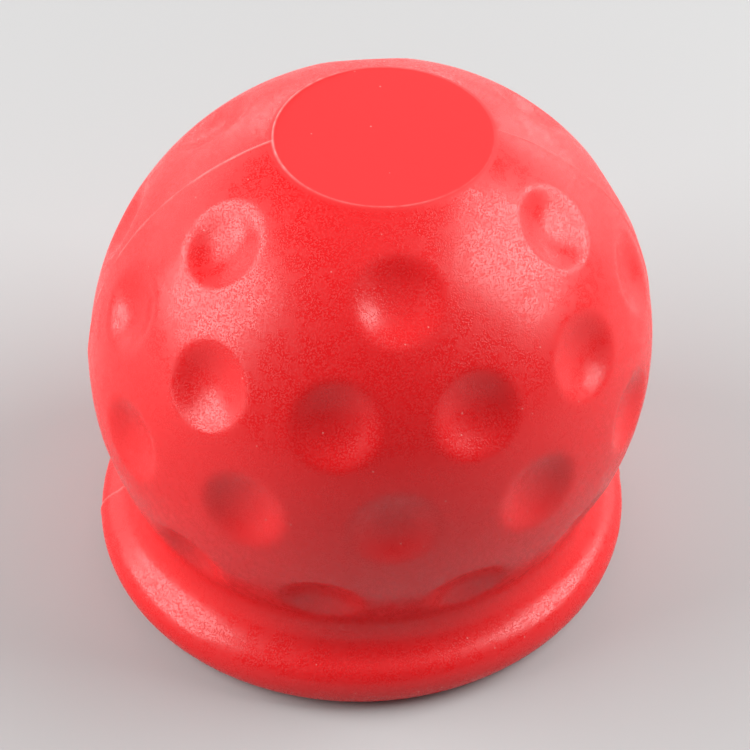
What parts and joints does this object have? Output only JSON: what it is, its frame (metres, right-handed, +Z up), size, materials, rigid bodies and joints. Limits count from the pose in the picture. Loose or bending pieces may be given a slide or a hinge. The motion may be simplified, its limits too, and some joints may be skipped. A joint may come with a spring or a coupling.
{
  "type": "tow ball cover",
  "caption": "Soft one-piece cover shaped as a dimpled ball with a flat crown and a flared round lip, hollow below to snap over a tow ball.",
  "frame": {"origin": "centre of the foot ring under the lip, on the plane the cover stands on", "axes": "+Z up the axis through the crown, X along the mould's parting plane, -Y the way the front mould half faces"},
  "size_m": [0.068, 0.0678, 0.0614],
  "materials": {
    "soft_pvc": "satin"
  },
  "bodies": {
    "root": {"cover": "soft_pvc"}
  },
  "joints": []
}
